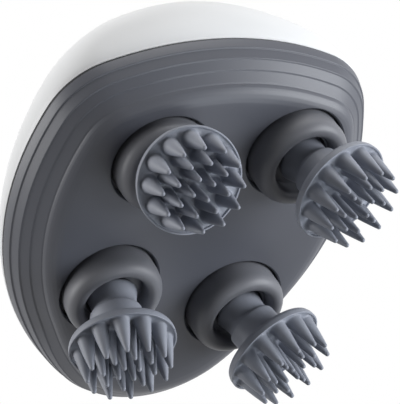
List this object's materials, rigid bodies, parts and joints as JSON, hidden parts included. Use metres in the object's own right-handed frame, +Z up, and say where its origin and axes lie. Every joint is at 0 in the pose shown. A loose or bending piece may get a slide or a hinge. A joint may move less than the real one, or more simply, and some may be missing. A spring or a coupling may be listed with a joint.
{
  "type": "electric pet massager",
  "caption": "Palm-sized pet and scalp massager: white dome on a grey stepped base with tilted silicone heads that knead on geared cranks.",
  "frame": {"origin": "under the middle of the body, on the plane that the lowest silicone tips stand on", "axes": "+X to the front of the body, its broad end; +Y to its left; +Z up, from the heads to the top of the dome"},
  "size_m": [0.1282, 0.1104, 0.0845],
  "materials": {
    "dome_white": "satin",
    "base_grey": "matte soft-touch",
    "sleeve_silicone": "matte silicone",
    "head_silicone": "matte silicone",
    "seal_rubber": "matte",
    "button_plastic": "satin",
    "lens": "clear",
    "black_plastic": "matte",
    "gear_plastic": "matte",
    "zinc": "cast",
    "steel": "ground",
    "bronze": "sintered",
    "brass": "machined",
    "gold": "plated",
    "board_green": "solder mask",
    "cell_foil": "foil"
  },
  "bodies": {
    "root": {"top_shell": "dome_white", "base_shell": "base_grey", "housing_gasket": "seal_rubber", "button_seal": "seal_rubber", "indicator_lens": "lens", "contact_block": "black_plastic", "charge_contacts": "gold", "charge_magnets": "steel", "hub_seals": "seal_rubber", "sun_axle": "steel", "idler_axle": "steel", "gearbox_cover": "gear_plastic", "gearbox_screws": "steel", "motor_can": "steel", "motor_cap": "black_plastic", "motor_screws": "steel", "battery_cell": "cell_foil", "battery_cradle": "black_plastic", "circuit_board": "board_green", "tact_switch": "black_plastic", "board_screws": "steel", "hub_bushing_front_right": "bronze", "hub_bushing_front_left": "bronze", "hub_bushing_rear_right": "bronze", "hub_bushing_rear_left": "bronze"},
    "drive": {"sun_gear": "brass"},
    "idler": {"idler_gear": "gear_plastic"},
    "rotor": {"motor_rotor": "steel", "motor_pinion": "brass"},
    "button": {"power_button": "button_plastic"},
    "crank_front_right": {"crank_hub_front_right": "zinc", "crank_pin_front_right": "steel", "pin_screw_front_right": "steel", "output_gear_front_right": "gear_plastic", "sleeve_front_right": "sleeve_silicone"},
    "head_front_right": {"head_core_front_right": "black_plastic", "massage_head_front_right": "head_silicone"},
    "crank_front_left": {"crank_hub_front_left": "zinc", "crank_pin_front_left": "steel", "pin_screw_front_left": "steel", "output_gear_front_left": "gear_plastic", "sleeve_front_left": "sleeve_silicone"},
    "head_front_left": {"head_core_front_left": "black_plastic", "massage_head_front_left": "head_silicone"},
    "crank_rear_right": {"crank_hub_rear_right": "zinc", "crank_pin_rear_right": "steel", "pin_screw_rear_right": "steel", "output_gear_rear_right": "gear_plastic", "sleeve_rear_right": "sleeve_silicone"},
    "head_rear_right": {"head_core_rear_right": "black_plastic", "massage_head_rear_right": "head_silicone"},
    "crank_rear_left": {"crank_hub_rear_left": "zinc", "crank_pin_rear_left": "steel", "pin_screw_rear_left": "steel", "output_gear_rear_left": "gear_plastic", "sleeve_rear_left": "sleeve_silicone"},
    "head_rear_left": {"head_core_rear_left": "black_plastic", "massage_head_rear_left": "head_silicone"}
  },
  "joints": [
    {"name": "drive_spin", "type": "hinge", "parent": "root", "child": "drive", "pos_m": [0.007, 0.0033, 0.04224], "axis": [0, 0, 1], "continuous": true},
    {"name": "idler_spin", "type": "hinge", "parent": "root", "child": "idler", "pos_m": [0.0286, 0.0033, 0.04825], "axis": [0, 0, 1], "continuous": true},
    {"name": "rotor_spin", "type": "hinge", "parent": "root", "child": "rotor", "pos_m": [0.0126, 0.0033, 0.05124], "axis": [0, 0, 1], "continuous": true},
    {"name": "crank_front_right_spin", "type": "hinge", "parent": "root", "child": "crank_front_right", "pos_m": [0.03206, -0.01848, 0.03295], "axis": [0, 0, 1], "continuous": true},
    {"name": "head_front_right_spin", "type": "hinge", "parent": "crank_front_right", "child": "head_front_right", "pos_m": [0.03206, -0.01848, 0.03295], "axis": [-0.368, 0.0856, 0.9259], "continuous": true},
    {"name": "crank_front_left_spin", "type": "hinge", "parent": "root", "child": "crank_front_left", "pos_m": [0.03273, 0.02428, 0.03295], "axis": [0, 0, 1], "continuous": true},
    {"name": "head_front_left_spin", "type": "hinge", "parent": "crank_front_left", "child": "head_front_left", "pos_m": [0.03273, 0.02428, 0.03295], "axis": [-0.0443, -0.2567, 0.9655], "continuous": true},
    {"name": "crank_rear_right_spin", "type": "hinge", "parent": "root", "child": "crank_rear_right", "pos_m": [-0.01303, -0.02318, 0.03295], "axis": [0, 0, 1], "continuous": true},
    {"name": "head_rear_right_spin", "type": "hinge", "parent": "crank_rear_right", "child": "head_rear_right", "pos_m": [-0.01303, -0.02318, 0.03295], "axis": [0.2528, 0.1401, 0.9573], "continuous": true},
    {"name": "crank_rear_left_spin", "type": "hinge", "parent": "root", "child": "crank_rear_left", "pos_m": [-0.02195, 0.01955, 0.03295], "axis": [0, 0, 1], "continuous": true},
    {"name": "head_rear_left_spin", "type": "hinge", "parent": "crank_rear_left", "child": "head_rear_left", "pos_m": [-0.02195, 0.01955, 0.03295], "axis": [0.1393, -0.2869, 0.9478], "continuous": true},
    {"name": "button_press", "type": "slide", "parent": "root", "child": "button", "axis": [0, 0, -1], "range_m": [0, 0.0008], "stiffness_N_per_m": 900, "springref_m": -0.0004}
  ],
  "couplings": [
    {"joint": "idler_spin", "follows": "drive_spin", "ratio": -5},
    {"joint": "rotor_spin", "follows": "drive_spin", "ratio": 27},
    {"joint": "crank_front_right_spin", "follows": "drive_spin", "ratio": -0.72917},
    {"joint": "head_front_right_spin", "follows": "drive_spin", "ratio": 0.72917},
    {"joint": "crank_front_left_spin", "follows": "drive_spin", "ratio": -0.72917},
    {"joint": "head_front_left_spin", "follows": "drive_spin", "ratio": 0.72917},
    {"joint": "crank_rear_right_spin", "follows": "drive_spin", "ratio": -0.72917},
    {"joint": "head_rear_right_spin", "follows": "drive_spin", "ratio": 0.72917},
    {"joint": "crank_rear_left_spin", "follows": "drive_spin", "ratio": -0.72917},
    {"joint": "head_rear_left_spin", "follows": "drive_spin", "ratio": 0.72917}
  ]
}
